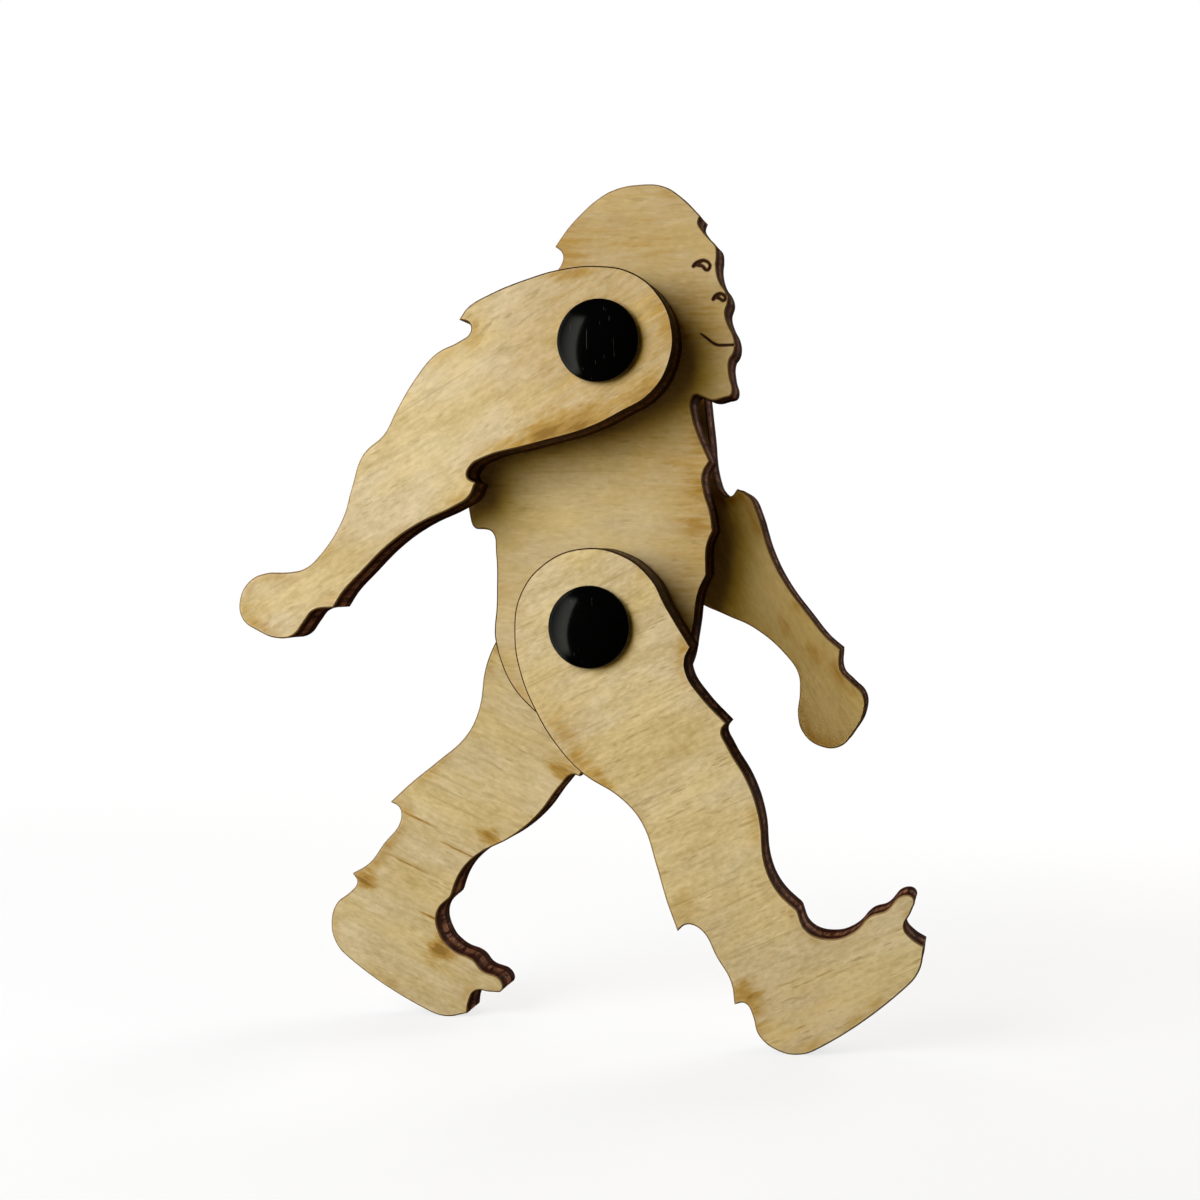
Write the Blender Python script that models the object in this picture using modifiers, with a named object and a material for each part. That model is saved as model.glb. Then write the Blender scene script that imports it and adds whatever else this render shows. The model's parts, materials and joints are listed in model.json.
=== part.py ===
# Jointed plywood figure of a shaggy forest creature in mid-stride.
# Five cut plates lie in three layers: right limbs, body, left limbs.
# Two rivets run across the layers, one at the shoulder and one at the hip.
# The figure faces +X, its right side faces -Y, and it stands on z = 0.
# Sizes are in millimetres and are turned into metres where a mesh is made.
import math

import bmesh
import bpy

MM = 0.001

# Plates
PLY = 5.0                 # thickness of every plate
SLIP = 0.4                # air between neighbouring layers
HOLE_PLAY = 0.3           # air round a rivet barrel in its hole

# Rivets
HEAD_DIAMETER = 8.0
HEAD_RIM = 0.5            # straight side of a head below its dome
HEAD_DOME = 1.1           # rise of the dome above the rim
HEAD_EDGE = 0.25          # rounding between rim and dome
HEAD_SEAT = 0.3           # air under a head
BARREL_DIAMETER = 4.4
BARREL_WALL = 0.8
BARREL_SETBACK = 0.6      # barrel end to the underside of the far head
PIN_PLAY = 0.3            # air round the pin inside the barrel
PIN_LENGTH = 9.0
BORE_SPARE = 1.0          # depth of bore beyond the end of the pin

# Legs, measured from the hip axis with the sole level
HIP_ROUND = 7.6           # radius of the leg's top end
THIGH = 15.5              # hip axis down to knee
SHIN = 18.0               # knee down to instep
FOOT = 11.4               # instep down to sole
THIGH_BACK = 9.6          # fullest part of the thigh behind the axis
KNEE_BACK = 7.3           # hollow of the knee
CALF_BACK = 10.7          # tip of the calf's tuft
ANKLE_BACK = 8.8
THIGH_FRONT = 4.7
SHIN_FRONT = 3.4
INSTEP_X = -0.5
HEEL_ROUND = 4.25
HEEL_X = -6.0             # centre of the heel round
BALL_ROUND = 5.1
BALL_X = 3.4              # centre of the round under the toes
TOE_X = 9.5               # tip of the big toe

# Arms, measured from the shoulder axis as they hang
ARM_ROUND = 7.2           # radius of the arm's top end
UPPER_ARM = 18.0          # shoulder axis down to elbow
FOREARM = 19.0            # elbow down to wrist
HAND = 8.3                # wrist down to finger ends
ARM_BACK = 10.7           # tip of the upper arm's tuft behind the axis
ELBOW_BACK = 8.4
WRIST_BACK = 0.5
KNUCKLE_BACK = 3.0
THUMB_FRONT = 4.1
WRIST_FRONT = 3.4
ELBOW_FRONT = 4.1

# Body, measured from the hip axis
TORSO = 27.4              # hip axis up to shoulder axis
SHOULDER_X = 1.4          # shoulder axis ahead of hip axis
SEAT_ROUND = 11.0         # radius of the seat about the hip axis
WAIST = 9.8               # small of the back above the hip axis
BACK_X = -10.7            # small of the back
RUMP_X = -13.3            # tuft that hangs over the small of the back
HUMP_X = -11.9            # hunched shoulders
NAPE_X = -3.3
CROWN_RISE = 15.8         # crown above shoulder axis
BROW_X = 12.2
LIP_X = 13.8
CHIN_DROP = 5.5           # chin below shoulder axis
THROAT_X = 9.4
BELLY_X = 11.3

# Points of the shaggy edges and of the face lie a few of these from the
# sizes above.
TUFT = 1.0

# Burnt lines of the face
LINE_RADIUS = 0.16        # half width and depth of a line
EYE_X = 10.75
EYE_RISE = 7.6            # eye above shoulder axis
NOSTRIL_X = 12.4
NOSTRIL_RISE = 4.5
MOUTH_X = 12.0
MOUTH_DROP = 0.1          # mouth below shoulder axis

# Swing of each limb from hanging straight down, forward positive, in degrees
RIGHT_LEG_SWING = 36.0
RIGHT_ARM_SWING = -54.2
REST_GAP = 0.35           # air where the left arm rests on the leg's round

# Fineness of the meshes
BARREL_STEPS = 32         # sides of a rivet
OUTLINE_STEPS = 4         # edges between two points of an outline
HOLE_STEPS = 6            # edges in a quarter of a hole
ARC_STEP = 30.0           # angle between points on a round
QUARTER = 90.0            # angle between points on a hole
WELD = 0.002              # points closer than this are one point

LAYER = PLY + SLIP
HOLE_RADIUS = BARREL_DIAMETER / 2 + HOLE_PLAY
KNEE = -THIGH
INSTEP = KNEE - SHIN
SOLE = INSTEP - FOOT
CROWN = TORSO + CROWN_RISE
CHIN = TORSO - CHIN_DROP
ELBOW = -UPPER_ARM
WRIST = ELBOW - FOREARM
FINGERS = WRIST - HAND

BIRCH = (0.60, 0.45, 0.22, 1.0)
BLACK = (0.008, 0.008, 0.009, 1.0)

for old in list(bpy.data.objects):
    bpy.data.objects.remove(old, do_unlink=True)

parts = bpy.data.collections.new("jointed_forest_creature")
tools = bpy.data.collections.new("cutters")
bpy.context.scene.collection.children.link(parts)
bpy.context.scene.collection.children.link(tools)


def material(name, colour, roughness):
    made = bpy.data.materials.new(name)
    made.use_nodes = True
    shader = made.node_tree.nodes["Principled BSDF"]
    shader.inputs["Base Color"].default_value = colour
    shader.inputs["Roughness"].default_value = roughness
    shader.inputs["Metallic"].default_value = 0.0
    return made


def empty(name, x, y, z, parent=None):
    made = bpy.data.objects.new(name, None)
    made.location = (x * MM, y * MM, z * MM)
    made.parent = parent
    made.empty_display_size = 0.004
    parts.objects.link(made)
    return made


# An outline is a list of points, each some tufts across and up from a place:
# "bend" runs smoothly through a point, "tip" makes a sharp end there, and a
# straight stretch lies between the two flats.
def outline_point(place, across, up, before, after):
    return (place[0] + across * TUFT, place[1] + up * TUFT, before, after)


def bend(place, across=0, up=0):
    return outline_point(place, across, up, "AUTO", "AUTO")


def tip(place, across=0, up=0):
    return outline_point(place, across, up, "VECTOR", "VECTOR")


def flat_start(place):
    return outline_point(place, 0, 0, "AUTO", "VECTOR")


def flat_end(place):
    return outline_point(place, 0, 0, "VECTOR", "AUTO")


def arc(centre, radius, start, end, step=ARC_STEP):
    count = max(2, round(abs(end - start) / step))
    points = []
    for i in range(count + 1):
        angle = math.radians(start + (end - start) * i / count)
        points.append(bend((centre[0] + radius * math.cos(angle), centre[1] + radius * math.sin(angle))))
    return points


def add_spline(curve, points, closed, steps):
    spline = curve.splines.new("BEZIER")
    spline.bezier_points.add(len(points) - 1)
    spline.use_cyclic_u = closed
    spline.resolution_u = steps
    for point, (x, z, before, after) in zip(spline.bezier_points, points):
        point.co = (x * MM, z * MM, 0.0)
        point.handle_left_type = before
        point.handle_right_type = after


def mesh_from_curve(name, curve, collection):
    holder = bpy.data.objects.new(name + "_outline", curve)
    collection.objects.link(holder)
    bpy.context.view_layer.update()
    graph = bpy.context.evaluated_depsgraph_get()
    mesh = bpy.data.meshes.new_from_object(holder.evaluated_get(graph))
    work = bmesh.new()
    work.from_mesh(mesh)
    bmesh.ops.remove_doubles(work, verts=work.verts, dist=WELD * MM)
    bmesh.ops.recalc_face_normals(work, faces=work.faces)
    work.to_mesh(mesh)
    work.free()
    made = bpy.data.objects.new(name, mesh)
    mesh.name = name
    made.matrix_world = holder.matrix_world
    collection.objects.link(made)
    bpy.data.objects.remove(holder, do_unlink=True)
    return made


# A plate stands in the XZ plane: its outline's second axis points up and its
# right face looks towards -Y. Holes are circles about the given axes.
def plate(name, outline, holes, parent, layer, swing):
    curve = bpy.data.curves.new(name, "CURVE")
    curve.dimensions = "2D"
    curve.fill_mode = "BOTH"
    curve.extrude = PLY / 2 * MM
    add_spline(curve, outline, True, OUTLINE_STEPS)
    for centre in holes:
        add_spline(curve, arc(centre, HOLE_RADIUS, 0, 270, QUARTER), True, HOLE_STEPS)
    made = mesh_from_curve(name, curve, parts)
    made.parent = parent
    made.location = (0.0, layer * LAYER * MM, 0.0)
    made.rotation_euler = (math.pi / 2, -math.radians(swing), 0.0)
    made.data.shade_smooth()
    made.data.set_sharp_from_angle(angle=math.radians(40))
    made.data.materials.append(material(name + "_birch", BIRCH, 0.6))
    return made


def turned(name, profile, parent, facing):
    mesh = bpy.data.meshes.new(name)
    edges = [(i, i + 1) for i in range(len(profile) - 1)]
    mesh.from_pydata([(r * MM, 0.0, z * MM) for r, z in profile], edges, [])
    made = bpy.data.objects.new(name, mesh)
    parts.objects.link(made)
    made.parent = parent
    made.rotation_euler = (facing * math.pi / 2, 0.0, 0.0)
    screw = made.modifiers.new("turn", "SCREW")
    screw.axis = "Z"
    screw.steps = BARREL_STEPS
    screw.render_steps = BARREL_STEPS
    screw.use_merge_vertices = True
    screw.merge_threshold = WELD * MM
    screw.use_smooth_shade = True
    mesh.materials.append(material(name + "_black", BLACK, 0.18))
    return made


# Height of the underside of a rivet head above the middle of the stack
def head_seat():
    return PLY / 2 + LAYER + HEAD_SEAT


# Outer side of a domed head from its crown to its underside
def head_profile():
    radius = HEAD_DIAMETER / 2
    base = head_seat()
    shoulder = radius - HEAD_EDGE
    sphere = (shoulder ** 2 + HEAD_DOME ** 2) / (2 * HEAD_DOME)
    centre = base + HEAD_RIM + HEAD_DOME - sphere
    reach = math.asin(shoulder / sphere)
    points = []
    for i in range(7):
        angle = reach * i / 6
        points.append((sphere * math.sin(angle), centre + sphere * math.cos(angle)))
    points[0] = (0.0, points[0][1])
    points.append((radius, base + HEAD_RIM - HEAD_EDGE))
    points.append((radius, base))
    return points


def rivet(name, parent):
    far = -head_seat() + BARREL_SETBACK
    outer = BARREL_DIAMETER / 2
    inner = outer - BARREL_WALL
    bore_end = -head_seat() + PIN_LENGTH + BORE_SPARE
    post = head_profile()
    post += [(outer, head_seat()), (outer, far), (inner, far), (inner, bore_end), (0.0, bore_end)]
    turned(name + "_post", post, parent, 1)
    pin = inner - PIN_PLAY
    pin_end = head_seat() - PIN_LENGTH
    cap = head_profile()
    cap += [(pin, head_seat()), (pin, pin_end), (0.0, pin_end)]
    turned(name + "_cap", cap, parent, -1)


def leg_outline():
    points = arc((0, 0), HIP_ROUND, 0, 150)
    points += [bend((-HIP_ROUND, 0), -0.6, 0.8)]
    thigh = (-THIGH_BACK, KNEE / 2)
    points += [bend(thigh, 0.3, 4.35), bend(thigh, 0, 0.55), bend(thigh, 0.4, -2.85)]
    knee = (-KNEE_BACK, KNEE)
    points += [bend(knee, -0.2, 0.4), bend(knee, 0, -2.5), bend(knee, -1.3, -6.6)]
    calf = (-CALF_BACK, INSTEP)
    points += [bend(calf, 0.9, 8.2), tip(calf, 0, 5.2)]
    ankle = (-ANKLE_BACK, INSTEP)
    points += [bend(ankle, -0.8, 5.2), bend(ankle, 0, 4.1), bend(ankle, -0.3, 1.0)]
    points += [bend(ankle, -0.6, -1.6), tip(ankle, -1.6, -3.5), bend(ankle, -0.7, -4.0)]
    points += [bend(ankle, -0.8, -5.3)]
    points += arc((HEEL_X, SOLE + HEEL_ROUND), HEEL_ROUND, 180, 270)[:-1]
    points += [flat_start((HEEL_X, SOLE)), flat_end((BALL_X, SOLE))]
    ball = arc((BALL_X, SOLE + BALL_ROUND), BALL_ROUND, 270, 325)
    points += ball[1:-1]
    points += [tip(ball[-1])]
    toe = (TOE_X, SOLE)
    points += [bend(toe, -2.4, 3.4), bend(toe, -2.4, 4.6), bend(toe, -0.9, 5.5), bend(toe, 0, 6.3)]
    points += [bend(toe, -0.6, 7.1), bend(toe, -2.9, 6.9), bend(toe, -4.2, 7.3), bend(toe, -6.5, 7.0)]
    points += [bend(toe, -8.5, 7.6)]
    instep = (INSTEP_X, INSTEP)
    points += [bend(instep, 0, -1.9), tip(instep, 0.4, 0.2), bend(instep, 0, 2.9), bend(instep, 0.5, 5.3)]
    shin = (SHIN_FRONT, KNEE)
    points += [bend(shin, -1.1, -8.7), bend(shin, 0, -5.5), bend(shin, 0.5, -1.4), bend(shin, 0.9, 0)]
    points += [tip(shin, 1.7, 0.3)]
    thigh = (THIGH_FRONT, KNEE)
    points += [bend(thigh, 0, 3.9), bend(thigh, 0.2, 6.4), bend(thigh, 0.9, 7.5), tip(thigh, 2.0, 8.1)]
    points += [bend((HIP_ROUND, 0), -0.4, -2.6)]
    return points


def arm_outline():
    points = arc((0, 0), ARM_ROUND, -20, 145)
    points += [bend((-ARM_ROUND, 0), -0.7, 1.1)]
    tuft = (-ARM_BACK, ELBOW / 2)
    points += [bend(tuft, 1.6, 7.3), bend(tuft, 0.3, 3.0), bend(tuft, 0, 0.7), tip(tuft, 0.4, -0.7)]
    points += [bend(tuft, 1.4, -0.1), bend(tuft, 2.1, -0.6), bend(tuft, 2.1, -1.9)]
    elbow = (-ELBOW_BACK, ELBOW)
    points += [bend(elbow, -0.7, 4.5), bend(elbow, 0, 1.1), bend(elbow, 1.3, -2.2), bend(elbow, 2.3, -4.4)]
    points += [bend(elbow, 2.6, -7.4), bend(elbow, 4.5, -10.3)]
    wrist = (-WRIST_BACK, WRIST)
    points += [bend(wrist, -1.6, 6.2), bend(wrist, -0.1, 2.0), bend(wrist), bend(wrist, -0.8, -1.7)]
    knuckles = (-KNUCKLE_BACK, FINGERS)
    points += [bend(knuckles, 0.4, 4.7), bend(knuckles, 0, 2.9), bend(knuckles, 0.8, 1.0)]
    points += [bend(knuckles, 2.5, 0), bend(knuckles, 4.5, 0.6)]
    thumb = (THUMB_FRONT, FINGERS)
    points += [bend(thumb, -0.8, 1.8), bend(thumb, 0, 3.3), bend(thumb, -0.4, 5.1)]
    wrist = (WRIST_FRONT, WRIST)
    points += [bend(wrist, 0, -1.8), tip(wrist, 1.0, 0.1), bend(wrist, 0.4, 1.8), bend(wrist, 0, 4.3)]
    points += [bend(wrist, -0.5, 8.6)]
    elbow = (ELBOW_FRONT, ELBOW)
    points += [bend(elbow, -1.0, -7.0), bend(elbow, -0.1, -2.8), bend(elbow, 0, -1.3)]
    points += [tip(elbow, -0.7, 0.1), bend(elbow, -1.7, -0.2), bend(elbow, -2.3, 0.7)]
    points += [bend(elbow, -2.2, 2.0), bend(elbow, -0.3, 6.6), bend((ARM_ROUND, 0), -1.1, -5.7)]
    return points


def body_outline():
    points = arc((0, 0), SEAT_ROUND, 262, 190)
    back = (BACK_X, WAIST)
    points += [bend(back, 0, -7.1), bend(back, 0, -2.2), bend(back, -0.3, -0.4), bend(back, -1.1, 0)]
    rump = (RUMP_X, WAIST)
    points += [bend(rump, 0.5, 0.1), bend(rump, 0, 1.3), bend(rump, -0.1, 4.7)]
    hump = (HUMP_X, TORSO)
    points += [bend(hump, -1.1, -8.9), bend(hump, 0, -4.4), bend(hump, 2.0, 0.1), bend(hump, 4.6, 4.1)]
    nape = (NAPE_X, CROWN)
    points += [bend(nape, -1.5, -8.9), bend(nape, 0, -7.1), bend(nape, 0, -6.3), tip(nape, -0.7, -5.6)]
    points += [bend(nape, 0.6, -3.9), bend(nape, 1.9, -2.6), bend(nape, 3.5, -1.3), bend(nape, 5.2, -0.4)]
    points += [bend(nape, 7.8, 0), bend(nape, 10.3, -0.3)]
    brow = (BROW_X, CROWN)
    points += [bend(brow, -3.4, -1.5), tip(brow, -1.6, -3.4), bend(brow, -1.8, -4.1)]
    points += [bend(brow, -1.5, -4.7), bend(brow, -0.6, -5.8), bend(brow, -0.1, -6.4)]
    points += [bend(brow, 0, -7.2), bend(brow, -0.1, -8.4)]
    lip = (LIP_X, TORSO)
    points += [bend(lip, -1.4, 5.9), bend(lip, -0.8, 4.9), bend(lip, -0.6, 4.0), bend(lip, -0.9, 2.9)]
    points += [bend(lip, -0.7, 1.9), bend(lip, -0.1, 0.5), bend(lip, 0, -0.5), bend(lip, -0.2, -1.2)]
    points += [bend(lip, -0.55, -1.7)]
    chin = (LIP_X, CHIN)
    points += [bend(chin, -0.55, 2.0), bend(chin, -0.3, 0.9), bend(chin, -0.5, 0.3), bend(chin, -1.2, 0.1)]
    points += [bend(chin, -2.3, -0.1), bend(chin, -3.4, 0.3), bend(chin, -4.0, 0.5)]
    throat = (THROAT_X, CHIN)
    points += [bend(throat), bend(throat, 0.1, -1.6), bend(throat, 0.7, -3.6), tip(throat, 1.7, -6.0)]
    points += [bend(throat, 1.0, -7.3), bend(throat, 1.1, -8.9)]
    belly = (BELLY_X, WAIST)
    points += [bend(belly, -0.2, 1.0), tip(belly, 0, -0.7), bend(belly, -0.6, -2.2)]
    points += [bend(belly, -0.7, -3.6), tip(belly, -0.7, -5.0), bend(belly, -1.5, -6.7)]
    points += [bend(belly, -2.1, -10.2), bend(belly, -3.1, -14.2), bend((0, -SEAT_ROUND), 4.6, 2.2)]
    return points


# A round groove along a path on the right face of the body
def groove(name, body, path):
    curve = bpy.data.curves.new(name, "CURVE")
    curve.dimensions = "3D"
    curve.bevel_depth = LINE_RADIUS * MM
    curve.bevel_resolution = 1
    curve.use_fill_caps = True
    add_spline(curve, path, False, OUTLINE_STEPS)
    for point in curve.splines[0].bezier_points:
        point.co.z = PLY / 2 * MM
    cutter = mesh_from_curve(name, curve, tools)
    cutter.parent = body
    cutter.hide_render = True
    cutter.display_type = "WIRE"
    cut = body.modifiers.new(name, "BOOLEAN")
    cut.operation = "DIFFERENCE"
    cut.solver = "EXACT"
    cut.object = cutter


def face_lines(body):
    eye = (EYE_X, TORSO + EYE_RISE)
    lid = [bend(eye, -0.9, -0.15), bend(eye, -0.5, 0.35), bend(eye, 0.05, 0.5), bend(eye, 0.6, 0.3)]
    lid += [bend(eye, 0.8, -0.2), bend(eye, 0.45, -0.6), bend(eye, 0.05, -0.3), bend(eye, -0.2, 0)]
    groove("eye_line", body, lid)
    nostril = (NOSTRIL_X, TORSO + NOSTRIL_RISE)
    flare = [bend(nostril, -0.6, -0.35), bend(nostril, -0.35, 0.1), bend(nostril, 0.1, 0.2)]
    flare += [bend(nostril, 0.4, -0.1), bend(nostril, 0.4, -0.5)]
    groove("nostril_line", body, flare)
    mouth = (MOUTH_X, TORSO - MOUTH_DROP)
    lip = (LIP_X, TORSO - MOUTH_DROP)
    smile = [bend(mouth, -1.55, 1.0), bend(mouth, -0.85, 0.4), bend(mouth, -0.1, -0.05)]
    smile += [bend(mouth, 0.8, -0.15), bend(lip, 0.6, -0.15)]
    groove("mouth_line", body, smile)


# Place of a limb's point relative to the limb's axis after the limb has swung
def swung(x, z, degrees):
    angle = math.radians(degrees)
    return x * math.cos(angle) - z * math.sin(angle), x * math.sin(angle) + z * math.cos(angle)


# The right heel sets the floor; the left leg swings back until the ball of
# its foot meets the same floor.
def floor_height():
    heel = swung(HEEL_X, SOLE + HEEL_ROUND, RIGHT_LEG_SWING)
    return heel[1] - HEEL_ROUND


def left_leg_swing():
    height = floor_height() + BALL_ROUND
    depth = SOLE + BALL_ROUND
    reach = math.hypot(BALL_X, depth)
    return -math.degrees(math.acos(min(1.0, -height / reach)) + math.atan2(BALL_X, -depth))


# The left arm hangs forward: its back edge rests on the round top of the leg.
def arm_to_hip(degrees):
    distances = []
    for x, z, before, after in arm_outline():
        across, up = swung(x, z, degrees)
        distances.append(math.hypot(SHOULDER_X + across, TORSO + up))
    return min(distances)


def left_arm_swing():
    swings = [step / 10 for step in range(1800)]
    return next(swing for swing in swings if arm_to_hip(swing) > HIP_ROUND + REST_GAP)


figure = empty("figure", 0, 0, -floor_height())
hip = empty("hip_axis", 0, 0, 0, figure)
shoulder = empty("shoulder_axis", SHOULDER_X, 0, TORSO, figure)

body_holes = [(0, 0), (SHOULDER_X, TORSO)]
torso = plate("body_plate", body_outline(), body_holes, hip, 0, 0)
face_lines(torso)

limb_hole = [(0, 0)]
plate("right_leg", leg_outline(), limb_hole, hip, -1, RIGHT_LEG_SWING)
plate("left_leg", leg_outline(), limb_hole, hip, 1, left_leg_swing())
plate("right_arm", arm_outline(), limb_hole, shoulder, -1, RIGHT_ARM_SWING)
plate("left_arm", arm_outline(), limb_hole, shoulder, 1, left_arm_swing())

rivet("shoulder_rivet", shoulder)
rivet("hip_rivet", hip)

# The figure is set with the middle of its length on x = 0.
bpy.context.view_layer.update()
ends = []
for part in parts.objects:
    if part.type == "MESH":
        ends += [(part.matrix_world @ vertex.co).x for vertex in part.data.vertices]
figure.location.x -= (min(ends) + max(ends)) / 2
bpy.context.view_layer.update()
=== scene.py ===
import json
import math

import bpy
import numpy as np
from mathutils import Matrix, Vector
from mathutils.geometry import delaunay_2d_cdt


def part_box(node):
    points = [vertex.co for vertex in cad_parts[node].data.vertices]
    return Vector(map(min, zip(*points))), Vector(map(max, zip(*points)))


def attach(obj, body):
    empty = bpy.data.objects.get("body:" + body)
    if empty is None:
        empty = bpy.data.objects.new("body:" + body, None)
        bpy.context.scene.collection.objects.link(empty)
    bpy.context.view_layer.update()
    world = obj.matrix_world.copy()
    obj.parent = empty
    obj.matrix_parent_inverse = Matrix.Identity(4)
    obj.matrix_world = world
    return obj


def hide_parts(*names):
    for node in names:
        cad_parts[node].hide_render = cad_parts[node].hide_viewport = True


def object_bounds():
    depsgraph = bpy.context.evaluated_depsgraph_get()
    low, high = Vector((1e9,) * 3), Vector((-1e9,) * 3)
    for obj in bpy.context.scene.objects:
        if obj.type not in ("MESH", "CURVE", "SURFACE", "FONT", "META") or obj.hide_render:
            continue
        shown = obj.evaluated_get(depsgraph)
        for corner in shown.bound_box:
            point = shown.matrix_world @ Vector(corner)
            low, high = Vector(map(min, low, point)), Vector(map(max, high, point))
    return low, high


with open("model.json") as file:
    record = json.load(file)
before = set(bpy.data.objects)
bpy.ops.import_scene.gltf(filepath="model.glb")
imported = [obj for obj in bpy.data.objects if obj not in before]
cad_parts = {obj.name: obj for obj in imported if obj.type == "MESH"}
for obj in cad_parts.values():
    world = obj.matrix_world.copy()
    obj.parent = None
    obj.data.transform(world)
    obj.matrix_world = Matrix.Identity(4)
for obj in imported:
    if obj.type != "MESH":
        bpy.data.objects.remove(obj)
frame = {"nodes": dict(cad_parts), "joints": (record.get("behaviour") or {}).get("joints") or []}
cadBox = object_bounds()

mm = 0.001
axes = {joint["name"]: Vector(joint["pos_m"]) / mm for joint in frame["joints"]}
hip = axes["right_hip"]  # both hips share one axis, and so do both shoulders
shoulder = axes["right_shoulder"]
print("frame loaded with", len(frame["nodes"]), "nodes")


# Small helpers for wiring shader nodes

def feed(tree, value, socket):
    if isinstance(value, bpy.types.NodeSocket):
        tree.links.new(value, socket)
    else:
        socket.default_value = value


def putNode(tree, kind, inputs=None, **settings):
    node = tree.nodes.new("ShaderNode" + kind)
    for name, value in settings.items():
        setattr(node, name, value)
    for name, value in (inputs or {}).items():
        feed(tree, value, node.inputs[name])
    return node


def calc(tree, operation, first, second=0.0, clamp=False):
    node = putNode(tree, "Math", {0: first, 1: second}, operation=operation, use_clamp=clamp)
    return node.outputs[0]


def ease(tree, value, start, end, before=0.0, after=1.0):  # soft step from start to end
    limits = {"From Min": start, "From Max": end, "To Min": before, "To Max": after}
    node = putNode(tree, "MapRange", {"Value": value, **limits}, interpolation_type="SMOOTHSTEP")
    return node.outputs["Result"]


def mixColour(tree, share, first, second, blend="MIX"):
    node = putNode(tree, "Mix", data_type="RGBA", blend_type=blend)
    for index, value in ((0, share), (6, first), (7, second)):
        feed(tree, value, node.inputs[index])
    return node.outputs[2]


def drawnOut(tree, place, scale, detail=2.0, roughness=0.5):  # noise with its own scale on each axis
    scaled = putNode(tree, "VectorMath", {0: place, 1: scale}, operation="MULTIPLY").outputs[0]
    settings = {"Vector": scaled, "Scale": 1.0, "Detail": detail, "Roughness": roughness}
    return putNode(tree, "TexNoise", settings).outputs["Fac"]


def weighted(tree, start, terms):  # start plus each value's distance from one half times its weight
    total = start
    for value, weight in terms:
        total = calc(tree, "ADD", total, calc(tree, "MULTIPLY", calc(tree, "SUBTRACT", value, 0.5), weight))
    return total


def newGroup(name, inputs, outputs):
    tree = bpy.data.node_groups.new(name, "ShaderNodeTree")
    for label, kind, value in inputs:
        socket = tree.interface.new_socket(label, in_out="INPUT", socket_type="NodeSocket" + kind)
        socket.default_value = value
    for label, kind in outputs:
        tree.interface.new_socket(label, in_out="OUTPUT", socket_type="NodeSocket" + kind)
    given = tree.nodes.new("NodeGroupInput").outputs
    result = tree.nodes.new("NodeGroupOutput").inputs
    return tree, given, result


def useGroup(tree, group, inputs):
    node = putNode(tree, "Group", node_tree=group)
    for name, value in inputs.items():
        feed(tree, value, node.inputs[name])
    return node.outputs


def newMaterial(name):
    material = bpy.data.materials.new(name)
    material.use_nodes = True
    tree = material.node_tree
    return material, tree, tree.nodes["Principled BSDF"]


def placeInMm(tree):
    spot = putNode(tree, "TexCoord").outputs["Object"]
    return putNode(tree, "VectorMath", {0: spot, "Scale": 1 / mm}, operation="SCALE").outputs[0]


def readAttribute(tree, name):
    return putNode(tree, "Attribute", attribute_name=name).outputs["Fac"]


def putBump(tree, shader, height, finish):
    inputs = {"Height": height, "Strength": finish["bump"], "Distance": finish["bumpDepth"] * mm}
    feed(tree, putNode(tree, "Bump", inputs).outputs["Normal"], shader.inputs["Normal"])


def turnedToGrain(tree, place, angle):
    inputs = {"Vector": place, "Angle": angle}
    return putNode(tree, "VectorRotate", inputs, rotation_type="Y_AXIS").outputs[0]


# Birch veneer: broad bands, soft mottling, short pores in clumps, a few long dark threads and pale flecks
veneerGrain = {
    "noises": {  # repeats per mm along, through and across the grain, then detail and roughness
        "broad": ((0.06, 0.25, 0.17), 3.0),
        "mottle": ((0.3, 0.4, 0.62), 3.0, 0.6),
        "band": ((0.09, 0.5, 0.85), 2.0),
        "fibre": ((0.26, 1.5, 2.1), 2.0, 0.55),
        "fine": ((1.25, 2.2, 2.6), 2.0, 0.6),
        "clump": ((0.16, 0.4, 0.5), 2.0),
        "pore": ((0.6, 2.0, 3.3), 1.5),
        "thread": ((0.05, 1.2, 2.4), 2.0),
        "fleck": ((0.7, 2.2, 3.0), 1.0),
        "hue": ((0.12, 0.3, 0.3), 2.0),
    },
    "shows": {  # noise at which a mark begins to show and shows in full, then its strength at both
        "clump": (0.38, 0.62, 0.25, 1.0),
        "pore": (0.60, 0.72),
        "thread": (0.65, 0.71),
        "fleck": (0.60, 0.74),
        "hue": (0.36, 0.64),
    },
    "toneShares": {"broad": 1.0, "mottle": 0.7, "band": 0.35, "fibre": 0.75, "fine": 0.95},
    "reliefShares": {"fibre": 0.5, "fine": 0.4, "pore": -0.4, "thread": -0.4},
    "middleTone": 0.55,  # 0 is the dark colour and 1 the pale one
    "fleckShare": 0.2,
    "poreShare": 0.4,
    "threadShare": 0.25,
    "lineTint": (0.72, 0.66, 0.58, 1),  # what pores and threads leave of the dark colour
    "honey": (1.0, 0.975, 0.88, 1),
    "rose": (0.985, 0.985, 1.06, 1),
    "seedShift": (31.7, 11.3, 23.9),  # mm that a seed of 1 moves the pattern
}


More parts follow.
